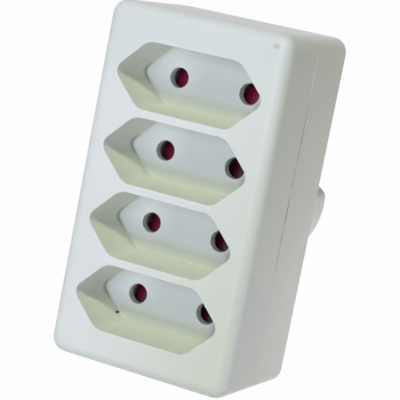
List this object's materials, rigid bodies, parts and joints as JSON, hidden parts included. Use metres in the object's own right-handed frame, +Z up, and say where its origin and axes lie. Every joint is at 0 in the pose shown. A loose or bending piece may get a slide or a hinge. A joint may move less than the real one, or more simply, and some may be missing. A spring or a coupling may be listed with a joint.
{
  "type": "multi socket adapter",
  "caption": "Upright plug-in mains adapter: a rounded block with a column of recessed sockets in front, sprung shutters behind the pin holes and a round plug with pins at the back.",
  "frame": {"origin": "centre of the plug's flat face, midway between its two pins", "axes": "+Y out along the plug pins and away from the sockets, +Z up the column of sockets, +X to the right for someone who faces the sockets"},
  "size_m": [0.0484, 0.0735, 0.0876],
  "materials": {
    "housing": "satin moulded, off-white",
    "carrier": "matte moulded, light grey",
    "shutter": "satin moulded, crimson",
    "spring_steel": "bright spring steel",
    "contact_brass": "stamped brass",
    "rivet_brass": "upset brass",
    "pin_plating": "nickel plate, turned",
    "screw_steel": "zinc plate"
  },
  "bodies": {
    "housing": {"front_housing": "housing", "rear_housing": "housing", "shutter_carrier": "carrier", "housing_screws": "screw_steel", "left_contact_inner": "contact_brass", "left_contact_outer": "contact_brass", "right_contact_inner": "contact_brass", "right_contact_outer": "contact_brass", "left_rivet": "rivet_brass", "right_rivet": "rivet_brass", "left_plug_pin": "pin_plating", "right_plug_pin": "pin_plating", "shutter_spring_1": "spring_steel", "shutter_spring_2": "spring_steel", "shutter_spring_3": "spring_steel", "shutter_spring_4": "spring_steel"},
    "shutter_1": {"shutter_1": "shutter"},
    "shutter_2": {"shutter_2": "shutter"},
    "shutter_3": {"shutter_3": "shutter"},
    "shutter_4": {"shutter_4": "shutter"}
  },
  "joints": [
    {"name": "shutter_1_slide", "type": "slide", "parent": "housing", "child": "shutter_1", "axis": [0, 0, -1], "range_m": [0, 0.0056], "stiffness_N_per_m": 120, "springref_m": -0.003, "deforming": ["shutter_spring_1"]},
    {"name": "shutter_2_slide", "type": "slide", "parent": "housing", "child": "shutter_2", "axis": [0, 0, -1], "range_m": [0, 0.0056], "stiffness_N_per_m": 120, "springref_m": -0.003, "deforming": ["shutter_spring_2"]},
    {"name": "shutter_3_slide", "type": "slide", "parent": "housing", "child": "shutter_3", "axis": [0, 0, -1], "range_m": [0, 0.0056], "stiffness_N_per_m": 120, "springref_m": -0.003, "deforming": ["shutter_spring_3"]},
    {"name": "shutter_4_slide", "type": "slide", "parent": "housing", "child": "shutter_4", "axis": [0, 0, -1], "range_m": [0, 0.0056], "stiffness_N_per_m": 120, "springref_m": -0.003, "deforming": ["shutter_spring_4"]}
  ]
}
